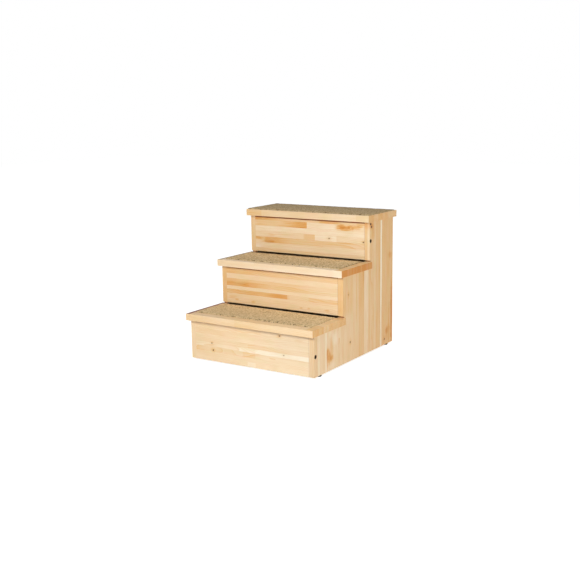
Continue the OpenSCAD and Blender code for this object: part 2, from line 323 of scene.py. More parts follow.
class Pine:
    """Builds one edge-glued pine board's material, feature by feature.

    along, across and depth are signals that follow the strips, cross them and go into the
    board. rows lists each strip's width and tone, from the place base across.
    """

    def __init__(self, name, rows, seed, base=0.0, tone_and_shade_drift=0.0):
        self.graph = Graph(name)
        self.rows = rows
        self.seed = seed
        self.base = base
        self.tone_and_shade_drift = tone_and_shade_drift

    def lay(self, along, across, depth):
        self.along = along
        self.across = across
        self.depth = depth

    def edges_of(self, row):
        """Where a strip begins and ends in the across direction."""
        start = self.base + sum(width for width, _ in self.rows[:row])
        return start, start + self.rows[row][0]

    def strip_lookup(self, across):
        """A strip's tone and its two random numbers, at a place across the board."""
        rng = np.random.default_rng(self.seed)
        total = sum(width for width, _ in self.rows)
        stops = []
        start = 0.0
        for width, tone in self.rows:
            stops.append((start / total, (tone, rng.uniform(), rng.uniform())))
            start += width
        parts = self.graph.add("ShaderNodeSeparateColor")
        share = (across - self.base) / total
        self.graph.feed(parts.inputs[0], self.graph.ramp(share, stops, "CONSTANT"))
        return [Signal(self.graph, part) for part in parts.outputs]

    def offset(self, mark, length, width):
        """How far a point is from a mark's middle, as shares of a length and a width."""
        return (self.along - mark.along) / length, (self.across - mark.across) / width

    def bend_grain(self, knots):
        """Pushes the across coordinate outwards around every knot."""
        bent = self.across
        for knot in knots:
            reach = knot.radius * KNOT_PUSH * knot.swirl
            off_along, off_across = self.offset(knot, reach * KNOT_PUSH_ALONG, reach)
            near = (-(off_along * off_along + off_across * off_across)).exp()
            bent = bent - (self.across - knot.across) * near * 0.85
        return bent

    def rings(self, across, first, second):
        """Growth rings cut lengthwise: 0 in earlywood, up to 1 at each latewood line."""
        graph = self.graph
        wander = graph.noise(self.along / 170, across / 60, first * 40 + self.seed, 1.0) - 0.5
        tremble = graph.noise(self.along / 28, across / 9, self.depth / 9) - 0.5
        from_pith = (across - self.base).math("PINGPONG", 70.0) + (first - 0.5) * 90 + wander * 30
        under_pith = self.depth + PITH_DEPTH + second * PITH_SPREAD + wander * 12
        radius = from_pith.reach(under_pith)
        turns = radius / (2.0 + first * 1.9) + tremble * 0.55
        return turns.fract() ** 3.0

    def block_mask(self, block):
        """1 on a block, easing in and out over its fade lengths."""
        start, stop = self.edges_of(block.row)
        across = self.across.above(start) * self.across.below(stop)
        ragged = (self.graph.noise(self.along / 40, self.across / 4, 2.0) - 0.5) * 0.5
        fade_in = max(block.fade_in, SHORTEST_FADE)
        fade_out = max(block.fade_out, SHORTEST_FADE)
        rise = (self.along + ragged * fade_in).smooth(block.start, block.start + fade_in)
        fall = (self.along + ragged * fade_out).smooth(block.stop, block.stop - fade_out)
        return across * rise * fall

    def stain_mask(self, stain):
        ragged = self.graph.noise(self.along / 14, self.across / 3.5, self.depth / 9, 3.0) - 0.5
        off_along, off_across = self.offset(stain, stain.length, stain.width)
        return (off_along.reach(off_across) + ragged * 1.1).smooth(1.1, 0.2)

    def joint_lines(self, block_length, shift):
        """Thin glue lines between strips and at the finger joints inside them."""
        first = self.strip_lookup(self.across + GLUE_LINE)[1]
        second = self.strip_lookup(self.across - GLUE_LINE)[1]
        line = (first - second).abs().above(0.001)
        if block_length:
            run = ((self.along + shift) / block_length).fract()
            line = line.most(run.below(2 * GLUE_LINE / block_length))
        return line

    def knot_distance(self, knot):
        ragged = self.graph.noise(self.along / 3, self.across / 3, self.depth / 3, 1.0) - 0.5
        off_along, off_across = self.offset(knot, knot.radius * knot.stretch, knot.radius)
        return off_along.reach(off_across) + ragged * 0.4

    def blushes(self, colour):
        """Faint pink and olive clouds that keep the board from being one hue."""
        pink = self.graph.noise(self.along / 46, self.across / 13, 7.0).smooth(0.46, 0.72)
        olive = self.graph.noise(self.along / 52, self.across / 15, 31.0).smooth(0.46, 0.72)
        colour = self.graph.mix(pink * 0.18, colour, PINK_BLUSH)
        return self.graph.mix(olive * 0.26, colour, OLIVE_BLUSH)

    def lot(self, block_length, block_spread=0.12):
        """Each strip's tone and random numbers, or those of the block jointed into it."""
        tone, first, second = self.strip_lookup(self.across)
        shift = first * 3 * block_length
        if block_length:
            index = ((self.along + shift) / block_length).floor()
            first = self.graph.chance(index, first * 97, float(self.seed))
            second = self.graph.chance(index, second * 89, float(self.seed) + 5)
            tone = tone + (first - 0.5) * block_spread
        return tone, first, second, shift

    def mark(self, tone, blocks, stains):
        """Adds the change of tone from end to end, partly painted shade, then the blocks and
        stains, to the tone.
        """
        # Darker to the left: partly the wood's own tone, partly painted shade
        tone = tone + self.along * (-self.tone_and_shade_drift / HALF_WIDTH)
        for block in blocks:
            tone = tone + self.block_mask(block) * block.tone
        for stain in stains:
            tone = tone + self.stain_mask(stain) * stain.tone
        return tone

    def ring_knots(self, tone, knots):
        """Darkens the wood around every knot."""
        for knot in knots:
            distance = self.knot_distance(knot)
            tone = tone + (-(distance * distance) / 7.0).exp() * 0.32 * knot.dark
        return tone

    def build(self, blocks=(), stains=(), knots=(), overlays=(), block_length=0.0,
              end_tone=0.2, end_normal=None, gloss=0.43, more_tone=0.0):
        """Draws every feature into one Principled surface.

        overlays are pairs of a mask and a colour that is laid over the finished wood.
        more_tone is added to the tone of the whole board.
        """
        graph, along, depth = self.graph, self.along, self.depth
        tone, first, second, shift = self.lot(block_length)
        bent = self.bend_grain(knots)
        late = self.rings(bent, first, second)
        fibre = graph.noise(along / 34, bent / FIBRE_WIDTH, depth / FIBRE_WIDTH) - 0.5
        streak = graph.noise(along / 130, bent / STREAK_WIDTH, depth / 9 + first * 9) - 0.5
        cloud = graph.noise(along / 70, bent / CLOUD_WIDTH, depth / 16) - 0.5
        tone = tone + (late - 0.25) * 0.24 + fibre * 0.18 + streak * 0.28 + cloud * 0.18
        tone = self.mark(tone + more_tone, blocks, stains)
        lines = self.joint_lines(block_length, shift)
        tone = tone + lines * 0.10
        if end_normal is not None:
            tone = tone + end_normal.abs().smooth(0.5, 0.9) * end_tone
        tone = self.ring_knots(tone, knots)
        colour = self.blushes(graph.ramp(tone.clamp(), PINE_TONES))
        for knot in knots:
            core = self.knot_distance(knot).smooth(1.15, 0.75)
            colour = graph.mix(core * knot.dark, colour, KNOT_BROWN)
        for mask, stain_colour in overlays:
            colour = graph.mix(mask, colour, stain_colour)
        roughness = gloss + fibre * 0.14 - late * 0.05
        relief = late * -0.35 + fibre * 0.9 - lines * 1.2
        return graph.finish(colour, roughness, relief, relief_mm=0.06,
                            coat_weight=0.08, coat_roughness=0.35)


# ---- the boards

# Strips of each riser from its lower edge up, as height and tone
LOWER_RISER_ROWS = (
    (13.5, 0.29), (12, 0.31), (13, 0.37), (12, 0.27), (11, 0.36), (12, 0.30), (13, 0.34),
    (19.5, 0.33),
)
MIDDLE_RISER_ROWS = (
    (14, 0.40), (14, 0.36), (11.5, 0.56), (10, 0.31), (12.5, 0.56), (8, 0.50), (14.5, 0.35),
    (20, 0.53),
)
UPPER_RISER_ROWS = (
    (10.5, 0.47), (16.5, 0.32), (16.5, 0.53), (16, 0.35), (16, 0.23), (17, 0.37), (12, 0.46),
)
# Staves of the right side panel from its front edge back, as width and tone
RIGHT_PANEL_ROWS = (
    (16, 0.47), (10, 0.20), (27, 0.35), (8, 0.10), (74, 0.36), (8, 0.45), (57, 0.41), (28, 0.45),
    (30.5, 0.58), (24, 0.33), (22.5, 0.54), (10, 0.53), (11, 0.44), (27.5, 0.58), (7.5, 0.05),
    (67, 0.62),
)


def local(node):
    """A node's lowest and highest corners in millimetres."""
    low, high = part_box(node)
    return low / MM, high / MM


def bore_places():
    """The middles, as y and z, of the counterbores for the screws at the right side."""
    heads = [v.co / MM for v in NODES["riser_screws"].data.vertices if v.co.x > 0.18]
    places = []
    for group in ([h for h in heads if h.y < 0], [h for h in heads if h.y > 0]):
        middle = sum(group, Vector()) / len(group)
        places.append((middle.y, middle.z))
    return places


def riser_material(step, rows, seed, nosing_shadow_strength, **features):
    """A riser's strips lie level and stack upwards.

    A shadow is painted under its nosing, and its right end is darker. Above each slot a
    painted shadow blackens its lowest edge; the lower riser has none, but painted shade
    over its right part.
    """
    low, high = local(f"{step}_riser")
    pine = Pine(f"{step}_riser_pine", rows, seed, base=low.z, tone_and_shade_drift=0.07)
    x, y, z = pine.graph.place()
    pine.lay(x, z, y - low.y)
    ragged = pine.graph.noise(x / 30, 4.0, 4.0) - 0.5
    # Painted shadow on the riser just under the nosing
    painted_nosing_shadow = (z + ragged * 1.6).smooth(high.z - 6.0, high.z - 4.6) * nosing_shadow_strength
    # Painted shadow along the riser's lowest edge, above the slot
    arris_shadow = z.smooth(low.z + 0.8, low.z + 0.3)
    joint = x.smooth(high.x - 3.0, high.x - 0.5) * 0.25
    overlays = [(painted_nosing_shadow, SHADOW_AND_SEAM_BROWN), (joint, SHADOW_AND_SEAM_BROWN)]
    if step == "lower":
        # Painted shade over the lower riser's right part, stronger upwards
        shaded_corner = x.smooth(-20, 120) * (z / PALE_SHADE_TOP).clamp()
        overlays.append((shaded_corner * 0.32, PALE_SHADE))
    else:
        overlays.append((arris_shadow, SLOT_SHADOW_BLACK))
    return pine.build(end_normal=pine.graph.normal()[0], overlays=overlays, **features)


def front_strips(graph, x, z):
    """Tone of a panel's three narrow front faces, which show their own wood."""
    forward = graph.normal()[1].below(-0.5)
    low, high = local("middle_riser")
    outer_part = x.above(local("right_side_panel")[1].x - 6.5)
    lowest = z.below(low.z) * (x.above(0) * 0.13 - 0.10)
    between = z.above(low.z) * z.below(high.z) * 0.07
    outer = z.above(high.z) * outer_part * -0.24
    return forward * (lowest + between + outer)


def panel_material(side, rows, seed, cream_row=None, **features):
    """A side panel's staves stand upright and follow each other from front to back."""
    low, _ = local(f"{side}_side_panel")
    pine = Pine(f"{side}_panel_pine", rows, seed, base=low.y)
    x, y, z = pine.graph.place()
    pine.lay(z, y, x - low.x)
    forward = pine.graph.normal()[1].below(-0.5)
    # Painted shade on the front face of the right panel's lowest strip
    shaded_lowest_strip = forward * x.above(0) * z.below(PALE_SHADE_TOP)
    overlays = [(shaded_lowest_strip * 0.3, PALE_SHADE)]
    # Painted shade darkening each counterbore and a thin ring around it
    for across, along in bore_places():
        ring = (y - across).reach(z - along).smooth(BORE_SHADE_RADIUS + 1.6, BORE_SHADE_RADIUS)
        overlays.append((ring * 0.92, BORE_SHADE_BROWN))
    # Painted shade on the panel's front face just above each tread, where the two meet
    for step in ("lower", "middle"):
        _, tread = local(f"{step}_tread")
        foot = z.above(tread.z - 0.5) * z.smooth(tread.z + 1.9, tread.z + 1.2)
        overlays.append((foot * y.below(tread.y + 1) * 0.85, SHADOW_AND_SEAM_BROWN))
    if cream_row is not None:
        start, stop = pine.edges_of(cream_row)
        cream = y.above(start) * y.below(stop) * z.smooth(40, 140)
        overlays.append((cream * 0.55, CREAM))
    return pine.build(end_normal=pine.graph.normal()[2], overlays=overlays,
                      more_tone=front_strips(pine.graph, x, z), **features)


def tread_material(step, seed, tone=0.34, rim=None, right_end=0.0, **features):
    """A tread's strips run from end to end.

    rim darkens the left end of its upper face and right_end darkens the right end.
    """
    low, high = local(f"{step}_tread")
    rows = random_rows(seed, high.y - low.y, TREAD_STRIP_WIDTH, tone=tone, spread=0.08)
    pine = Pine(f"{step}_tread_pine", rows, seed, base=low.y, tone_and_shade_drift=0.10)
    x, y, z = pine.graph.place()
    pine.lay(x, y, z - low.z)
    normal_x, _, normal_z = pine.graph.normal()
    overlays = []
    worn_end = x.smooth(high.x - 28, high.x - 16) * normal_z.above(0.5) * right_end
    if rim is not None:
        colour, amount = rim
        ragged = pine.graph.noise(y / 12, 1.0, 1.0) - 0.5
        inner = low.x + RIM_WIDTH
        mask = (x + ragged * 3).smooth(inner + 3, inner) * normal_z.smooth(0.3, 0.7)
        overlays.append((mask * amount, colour))
    # Painted shadow of the slot under the next riser, on the tread's top
    if step != "upper":
        riser_low, riser_high = local(f"{STEPS[STEPS.index(step) + 1]}_riser")
        full = riser_low.y - SLOT_SHADOW_REACH
        on_top = x.abs().below(riser_high.x) * normal_z.above(0.5)
        overlays.append((y.smooth(full - 4, full) * on_top, SLOT_SHADOW_BLACK))
    return pine.build(end_normal=normal_x, block_length=FINGER_JOINT_PITCH,
                      overlays=overlays, more_tone=worn_end, **features)


def batten_material(node, seed):
    """One plain strip of planed pine."""
    low, high = local(node)
    pine = Pine(f"{node}_pine", [(high.x - low.x, 0.5)], seed, base=low.x)
    x, y, z = pine.graph.place()
    pine.lay(y - low.y, x, z - low.z)
    return pine.build(end_normal=pine.graph.normal()[1], gloss=0.6)


def plywood_material():
    """Thin rotary-cut plywood: wide wandering figure on the faces, plies at the edges."""
    low, high = local("back_panel")
    graph = Graph("back_panel_plywood")
    x, y, z = graph.place()
    wander = graph.noise(z / 260, x / 70, 3.0) - 0.5
    figure = ((x + wander * 120) / 21).fract()
    figure = (figure - 0.5).abs() * 2
    fibre = graph.noise(z / 30, x / 0.8, y, 3.0) - 0.5
    pores = graph.noise(z / 6, x / 0.35, y / 0.35).smooth(0.62, 0.75)
    tone = 0.5 + (figure - 0.5) * 0.16 + fibre * 0.2 + pores * 0.10
    ply = ((y - low.y) / (high.y - low.y) * 3).floor()
    on_edge = 1.0 - graph.normal()[1].abs().smooth(0.4, 0.6)
    tone = tone + on_edge * (ply.above(0.5) * ply.below(1.5)) * 0.35
    colour = graph.ramp(tone.clamp(), PINE_TONES)
    return graph.finish(colour, 0.58 + fibre * 0.1, fibre - pores, relief_mm=0.05)


def dress(node, material):
    """Gives a CAD node one material on all its faces."""
    slots = NODES[node].data.materials
    slots.clear()
    slots.append(material)
    for polygon in NODES[node].data.polygons:
        polygon.material_index = 0


def ease_edges(node, width, segments=3):
    """Softens a CAD node's sharp edges without touching its own mesh."""
    bevel = NODES[node].modifiers.new("eased edges", "BEVEL")
    bevel.width = width * MM
    bevel.segments = segments
    bevel.limit_method = "ANGLE"
    bevel.angle_limit = math.radians(50)


def dress_lower_riser():
    """The palest riser: one nearly white strip, a brown block and four small knots."""
    dress("lower_riser", riser_material(
        "lower", LOWER_RISER_ROWS, 11, 0.5,
        blocks=(Block(2, -190, -115, 0.04, 3, 6), Block(2, -86, -60, 0.05, 0, 10),
                Block(2, -26, 16, 0.13, 3), Block(3, -35, 190, -0.12), Block(3, 16, 190, -0.10),
                Block(4, -10, 140, 0.08, 4, 30), Block(0, -10, 16, -0.14),
                Block(6, -175, -75, 0.05, 10, 20)),
        stains=(Stain(152, 95, 20, 5, 0.14),),
        knots=(Knot(-126, 53.5, 1.8, 0.75), Knot(-122, 34.5, 2.1, 1.0),
               Knot(92, 100, 2.1, 1.0), Knot(104, 50.5, 2.0, 0.5))))


def dress_middle_riser():
    """Alternating pale and honey strips with brown specks along the lower edge."""
    dress("middle_riser", riser_material(
        "middle", MIDDLE_RISER_ROWS, 23, 0.85,
        blocks=(Block(7, -190, -40, 0.10, 1, 80), Block(4, -190, -30, 0.24, 4, 90),
                Block(5, -190, -60, 0.12, 4, 70), Block(2, -190, 22, 0.12, 4),
                Block(2, -55, 22, 0.22, 60), Block(2, 22, 95, -0.14, 12, 10),
                Block(4, 60, 190, -0.12, 60), Block(5, 40, 190, -0.06, 60)),
        stains=(Stain(-130, 190, 26, 4, 0.18), Stain(-160, 150, 24, 7, 0.14),
                Stain(-146, 144, 9, 3, 0.28), Stain(-90, 142, 10, 5, 0.22),
                Stain(66, 142, 6, 4, 0.22), Stain(90, 143, 6, 4, 0.20),
                Stain(147, 143, 12, 5, 0.20))))


def dress_upper_riser():
    """The liveliest riser: an orange block that ends at a joint, and an orange swirl."""
    dress("upper_riser", riser_material(
        "upper", UPPER_RISER_ROWS, 37, 0.95,
        blocks=(Block(6, -190, -60, 0.40, 1, 110), Block(6, 33, 112, 0.34, 10, 24),
                Block(6, 150, 182, 0.20, 10), Block(5, -190, -4, 0.12, 20),
                Block(5, -110, -4, 0.36, 90), Block(5, -4, 95, -0.14, 0, 10),
                Block(3, -20, 22, 0.20, 12), Block(3, 22, 92, -0.18),
                Block(2, -152, -50, 0.22, 10, 70)),
        stains=(Stain(118, 343, 34, 11, 0.62), Stain(106, 347, 18, 9, 0.30),
                Stain(150, 346, 24, 8, 0.44), Stain(168, 350, 14, 5, 0.26),
                Stain(-125, 310, 16, 6, 0.14), Stain(-133, 290, 24, 5, 0.42),
                Stain(-168, 299, 20, 5, 0.22), Stain(-172, 290, 18, 5, -0.16),
                Stain(118, 300.5, 34, 2.5, 0.20), Stain(-172, 275, 22, 6, -0.20),
                Stain(0, 266, 190, 1.3, 0.16)),
        knots=(Knot(68.5, 311.5, 2.3, 0.55), Knot(176, 307.5, 2.1, 0.85))))


def dress_right_panel():
    """The side in view: a flame by the front, one cream stave, knots at the upper riser."""
    dress("right_side_panel", panel_material(
        "right", RIGHT_PANEL_ROWS, 41, 14,
        blocks=(Block(6, 118, 262, 0.15, 30), Block(8, 110, 262, 0.10, 60),
                Block(9, 120, 262, -0.06, 30), Block(14, 120, 380, -0.10, 30)),
        stains=(Stain(45, -148, 32, 7, 0.62), Stain(39, -138, 22, 8, 0.48),
                Stain(36, -127, 11, 11, 0.44), Stain(58, -143, 16, 6, 0.26),
                Stain(84, -110, 22, 20, -0.20), Stain(100, -132, 14, 12, -0.16),
                Stain(16, -120, 10, 22, -0.14), Stain(62, -128, 44, 13, 0.24),
                Stain(180, 6, 170, 6, 0.10),
                Stain(225, 43, 46, 4, 0.16), Stain(335, 96, 30, 15, 0.22),
                Stain(180, 137, 160, 3, 0.14), Stain(258, 198, 12, 14, 0.24),
                Stain(40, 188, 30, 20, 0.10), Stain(45, 180, 14, 11, 0.32),
                Stain(90, 210, 130, 8, 0.62), Stain(60, 194, 90, 6, 0.14)),
        knots=(Knot(357.5, 83.5, 4.2, 1.0, 1.2, 0.8), Knot(349.5, 88.0, 3.6, 1.0, 1.0, 0.8),
               Knot(56, -30, 2.6, 0.7), Knot(186, -39, 2.2, 0.35),
               Knot(21, 167, 2.8, 0.7))))


def dress_left_panel():
    """The hidden side: quieter boards with a few knots of their own."""
    low, high = local("left_side_panel")
    dress("left_side_panel", panel_material(
        "left", random_rows(52, high.y - low.y, 38.0, tone=0.46), 53,
        stains=(Stain(250, 120, 60, 12, 0.24), Stain(60, -120, 40, 10, 0.30)),
        knots=(Knot(214, 20, 4.0, 0.8), Knot(74, 120, 3.0, 0.9), Knot(64, -150, 2.2, 0.7))))


def make_boards():
    """Dresses every wooden board and softens its edges."""
    dress_lower_riser()
    dress_middle_riser()
    dress_upper_riser()
    dress_right_panel()
    dress_left_panel()
    dress("lower_tread", tread_material("lower", 61, tone=0.36, end_tone=0.36, right_end=0.26,
                                        rim=(linear(132, 50, 28), 0.92)))
    dress("middle_tread", tread_material("middle", 67, tone=0.30, end_tone=1.1, right_end=0.44,
                                         rim=(linear(140, 112, 84), 0.7)))
    dress("upper_tread", tread_material("upper", 73, tone=0.38, end_tone=0.34))
    dress("back_panel", plywood_material())
    for number, node in enumerate(n for n in sorted(NODES) if n.endswith("_batten")):
        dress(node, batten_material(node, 80 + number))
    for node in NODES:
        if node.endswith(("_riser", "_tread", "_side_panel")):
            ease_edges(node, 0.7)
        elif node.endswith("_batten"):
            ease_edges(node, 0.5, 2)


# ---- carpet pile

PILE_PITCH = 3.0
PILE_CELL = 0.95
PILE_DOME = 0.8
LOOP_JITTER = 0.27
BACKING = 0.8
# A cut edge's rounded shoulder: its width and drop
SHOULDER = 1.8
SHOULDER_DROP = 0.7
# How far in from each edge the pile is darkened by painted shade and dirt; at the rear, a painted
# contact shadow
SHADE_AND_SOIL_REACH = dict(left=6.0, right=3.0, front=3.0, rear=11.0)
# How far back the burst tufts go, and how many tears make one
WORN_DEPTH = 7.0
TEARS = 3
# A cut edge from the pile down: height as a share of the pile's, or None for the top
# of the backing, then its bulge, its painted shade (crevice_shade) and dark
RIM = ((0.66, 0.30, 0.35, 0.1), (0.42, 0.18, 0.6, 0.35),
       (None, 0.35, 0.5, 0.6), (0.0, 0.3, 0.5, 0.6))
CLUMP = 10
YARN_TONES = (
    (0.05, linear(160, 130, 88)), (0.30, linear(206, 176, 130)),
    (0.45, linear(220, 191, 146)), (0.65, linear(232, 205, 160)),
    (0.95, linear(246, 224, 184)),
)
# Painted shade between the loops and down the cut edges
CREVICE_SHADE_BROWN = linear(132, 104, 66)
BACKING_BROWN = linear(70, 50, 28)


class Mat(NamedTuple):
    """What makes one mat differ from the next.

    shade_tints scale its colour by the front and the rear edge, darkening the upper mat as
    painted shade, mottle is how blotchy it is, shade_and_soil how dark its edges are, with a
    painted contact shadow along the rear, and worn where along x the front of the pile has burst.
    """

    seed: int
    shade_tints: tuple
    mottle: float
    shade_and_soil: dict
    worn: tuple


def edges(left, right, front, rear):
    return {"left": left, "right": right, "front": front, "rear": rear}


# A dark rear in shade_and_soil is a painted contact shadow in front of the next riser's slot
MATS = {
    "lower": Mat(
        500, shade_tints=(0.95, 1.06), mottle=0.28, shade_and_soil=edges(0.3, 0.4, 0.15, 0.1),
        worn=(-168, -104, -67, -62, -10, 17, 37, 51, 66, 76, 96, 115, 125, 160)),
    "middle": Mat(
        501, shade_tints=(0.92, 1.06), mottle=0.42, shade_and_soil=edges(0.35, 0.5, 0.15, 1.0),
        worn=(-141, -111, -94, -67, -63, -30, 14, 37, 58, 101, 108, 130, 168)),
    # The upper mat's low shade_tints are painted shade
    "upper": Mat(
        502, shade_tints=(0.76, 0.64), mottle=0.56, shade_and_soil=edges(0.9, 0.2, 0.15, 0.75),
        worn=(-150, -126, -96, -58, -20, 22, 64, 106, 112, 145, 170)),
}


def lumps(rng, places_u, places_v, pitch):
    """Smooth random field from -1 to 1 on a grid of places, one lump per pitch."""
    count_u = int(places_u.max() / pitch) + 3
    count_v = int(places_v.max() / pitch) + 3
    values = rng.uniform(-1, 1, (count_u, count_v))
    cell_u, part_u = np.divmod(places_u / pitch, 1)
    cell_v, part_v = np.divmod(places_v / pitch, 1)
    cell_u, cell_v = cell_u.astype(int), cell_v.astype(int)
    part_u, part_v = (p * p * (3 - 2 * p) for p in (part_u, part_v))
    near = values[cell_u, cell_v] * (1 - part_v) + values[cell_u, cell_v + 1] * part_v
    far = values[cell_u + 1, cell_v] * (1 - part_v) + values[cell_u + 1, cell_v + 1] * part_v
    return near * (1 - part_u) + far * part_u


def loops(rng, places_u, places_v):
    """Pile loops set in jittered rows: their relief from 0 to 1 and each one's own shade."""
    count_u = int(places_u.max() / PILE_PITCH) + 3
    count_v = int(places_v.max() / PILE_PITCH) + 3
    jitter = rng.uniform(-LOOP_JITTER, LOOP_JITTER, (count_u, count_v, 2))
    height = rng.uniform(0.7, 1.0, (count_u, count_v))
    shade = rng.uniform(0, 1, (count_u, count_v))
    cell_u = (places_u / PILE_PITCH).astype(int)
    cell_v = (places_v / PILE_PITCH).astype(int)
    nearest = np.full(places_u.shape, 9.0)
    relief = np.zeros(places_u.shape)
    tint = np.zeros(places_u.shape)
    for step_u, step_v in product((-1, 0, 1), repeat=2):
        column = np.clip(cell_u + step_u, 0, count_u - 1)
        row = np.clip(cell_v + step_v, 0, count_v - 1)
        middle_u = column + 0.5 + jitter[column, row, 0] + 0.5 * (row % 2)
        middle_v = row + 0.5 + jitter[column, row, 1]
        gap = np.hypot(places_u / PILE_PITCH - middle_u, places_v / PILE_PITCH - middle_v)
        closer = gap < nearest
        dome = np.sqrt(np.clip(1 - (gap / 0.72) ** 2, 0, 1)) * height[column, row]
        relief = np.where(closer, dome, relief)
        tint = np.where(closer, shade[column, row], tint)
        nearest = np.minimum(gap, nearest)
    return relief, tint


def mat_corners(node):
    """A mat's lower corners: front left, front right, rear right and rear left."""
    corners = {tuple(round(c, 6) for c in v.co) for v in NODES[node].data.vertices}
    floor = min(c[2] for c in corners)
    lower = [Vector(c) / MM for c in corners if c[2] < floor + 1e-5]
    centre = sum(lower, Vector()) / len(lower)
    return sorted(lower, key=lambda c: math.atan2(c.y - centre.y, c.x - centre.x))


def ragged_edge(rng, count, step):
    """How far a cut edge is worn back at each of count places, mostly very little."""
    places = np.arange(count) * step
    worn = 0.2 + 0.2 * lumps(rng, places, places * 0, 2.3)
    for _ in range(int(count * step / 24)):
        middle = rng.uniform(0, count * step)
        width = rng.uniform(1.2, 2.6)
        worn += rng.uniform(0.3, 1.3) * np.exp(-((places - middle) / width) ** 2)
    return worn


class Pile:
    """The closed mesh of one mat while it is being built, in millimetres."""

    def __init__(self, node, mat):
        self.rng = np.random.default_rng(mat.seed)
        self.mat = mat
        front_left, front_right, _, rear_left = mat_corners(node)
        self.corner = front_left
        self.length = (front_right - front_left).length
        self.depth = (rear_left - front_left).length
        self.along = (front_right - front_left).normalized()
        self.back = (rear_left - front_left).normalized()
        low, high = local(node)
        self.thickness = high.z - low.z
        self.count_u = round(self.length / PILE_CELL) + 1
        self.count_v = round(self.depth / PILE_CELL) + 1
        self.vertices = []
        self.faces = []
        self.layers = {"shade": [], "crevice_shade": [], "dark": []}

    def point(self, u, v, z):
        """The place u along the front edge, v back from it and z above the tread."""
        flat = self.corner + self.along * float(u) + self.back * float(v)
        return flat + Vector((0, 0, float(z)))

    def add_point(self, place, shade, crevice_shade, dark):
        self.vertices.append(place)
        for name, value in zip(self.layers, (shade, crevice_shade, dark)):
            self.layers[name].append(float(value))
        return len(self.vertices) - 1

    def darken_edges(self, u, v, edge):
        """How dark the edges are at each place, from painted shade and dirt, with a painted
        contact shadow along the rear.
        """
        dark = np.zeros(u.shape)
        for side, distance in edge.items():
            fade = np.exp(-(distance / SHADE_AND_SOIL_REACH[side]) ** 2)
            fade = fade * (1 + 0.4 * lumps(self.rng, u, v, 5))
            dark = np.maximum(dark, self.mat.shade_and_soil[side] * fade)
        return dark

    def tear(self, u, v):
        """How far the pile has burst at each place."""
        rng = self.rng
        burst = np.zeros(u.shape)
        for place in self.mat.worn:
            for _ in range(TEARS):
                middle_u = place - self.corner.x + rng.normal(0, 1.6)
                off_u = (u - middle_u) / rng.uniform(0.9, 2.2)
                off_v = (v - rng.uniform(-0.5, WORN_DEPTH)) / rng.uniform(1.8, 4.6)
                torn = np.exp(-(off_u ** 2 + off_v ** 2)) * rng.uniform(0.7, 1.3)
                burst = np.maximum(burst, torn)
        return burst

    def wear_edges(self, u, v, edge):
        """Moves the places by the cut edges inwards, where the edges are ragged."""
        near = {side: np.exp(-distance / 1.3) for side, distance in edge.items()}
        left, right = (ragged_edge(self.rng, self.count_v, PILE_CELL) for _ in range(2))
        front, rear = (ragged_edge(self.rng, self.count_u, PILE_CELL) for _ in range(2))
        self.u = u + near["left"] * left - near["right"] * right
        self.v = v + near["front"] * front[:, None] - near["rear"] * rear[:, None]

    def lay_top(self):
        """The looped upper side, with rounded shoulders, burst tufts and edges darkened by
        painted shade and dirt.
        """
        u, v = np.meshgrid(np.linspace(0, self.length, self.count_u),
                           np.linspace(0, self.depth, self.count_v), indexing="ij")
        relief, tint = loops(self.rng, u, v)
        sway = 0.2 * lumps(self.rng, u, v, 60) + 0.2 * lumps(self.rng, u, v, 14)
        edge = edges(u, self.length - u, v, self.depth - v)
        # Painted shade and dirt along the edges, a painted contact shadow at the rear
        shade_and_soil = self.darken_edges(u, v, edge)
        burst = self.tear(u, v)
        self.dark = np.maximum(shade_and_soil, burst)
        relief = relief * (1 - 0.6 * np.clip(burst, 0, 1))
        inset = np.minimum.reduce(list(edge.values()))
        shoulder = np.sqrt(1 - (1 - np.clip(inset / SHOULDER, 0, 1)) ** 2)
        top = self.thickness - PILE_DOME + PILE_DOME * relief + sway * shoulder
        self.top = top - SHOULDER_DROP * (1 - shoulder)
        self.wear_edges(u, v, edge)
        # The lower the pile, the more painted shade it gets between the loops
        for row in zip(self.u.ravel(), self.v.ravel(), self.top.ravel(),
                       tint.ravel(), (1 - relief).ravel(), self.dark.ravel()):
            self.add_point(self.point(*row[:3]), *row[3:])
        step = self.count_v
        for column in range(self.count_u - 1):
            for first in range(column * step, column * step + step - 1):
                self.faces.append((first, first + step, first + step + 1, first + 1))

    def rim_places(self):
        """Grid places around the rim with their side, counter-clockwise from above."""
        last_u, last_v = self.count_u - 1, self.count_v - 1
        front = [(u, 0, "front") for u in range(last_u)]
        right = [(last_u, v, "right") for v in range(last_v)]
        rear = [(u, last_v, "rear") for u in range(last_u, 0, -1)]
        left = [(0, v, "left") for v in range(last_v, 0, -1)]
        return front + right + rear + left

    def close_rim(self):
        """The cut edges: bulging pile ends over a thin darker backing, then the underside."""
        rim = self.rim_places()
        outwards = edges((-1, 0), (1, 0), (0, -1), (0, 1))
        above = [u * self.count_v + v for u, v, _ in rim]
        for share, bulge, crevice_shade, dark in RIM:
            ring = []
            for u, v, side in rim:
                out_u, out_v = (bulge * self.rng.uniform(0.5, 1.0) * o for o in outwards[side])
                z = BACKING * 0.6 if share is None else self.top[u, v] * share
                dirt = dark * self.rng.uniform(0.4, 1.0) + self.dark[u, v] * 0.6
                ring.append(self.add_point(
                    self.point(self.u[u, v] + out_u, self.v[u, v] + out_v, z),
                    self.rng.uniform(), crevice_shade, dirt))
            for place, here in enumerate(ring):
                after = (place + 1) % len(ring)
                self.faces.append((above[after], above[place], here, ring[after]))
            above = ring
        self.faces.append(tuple(reversed(above)))

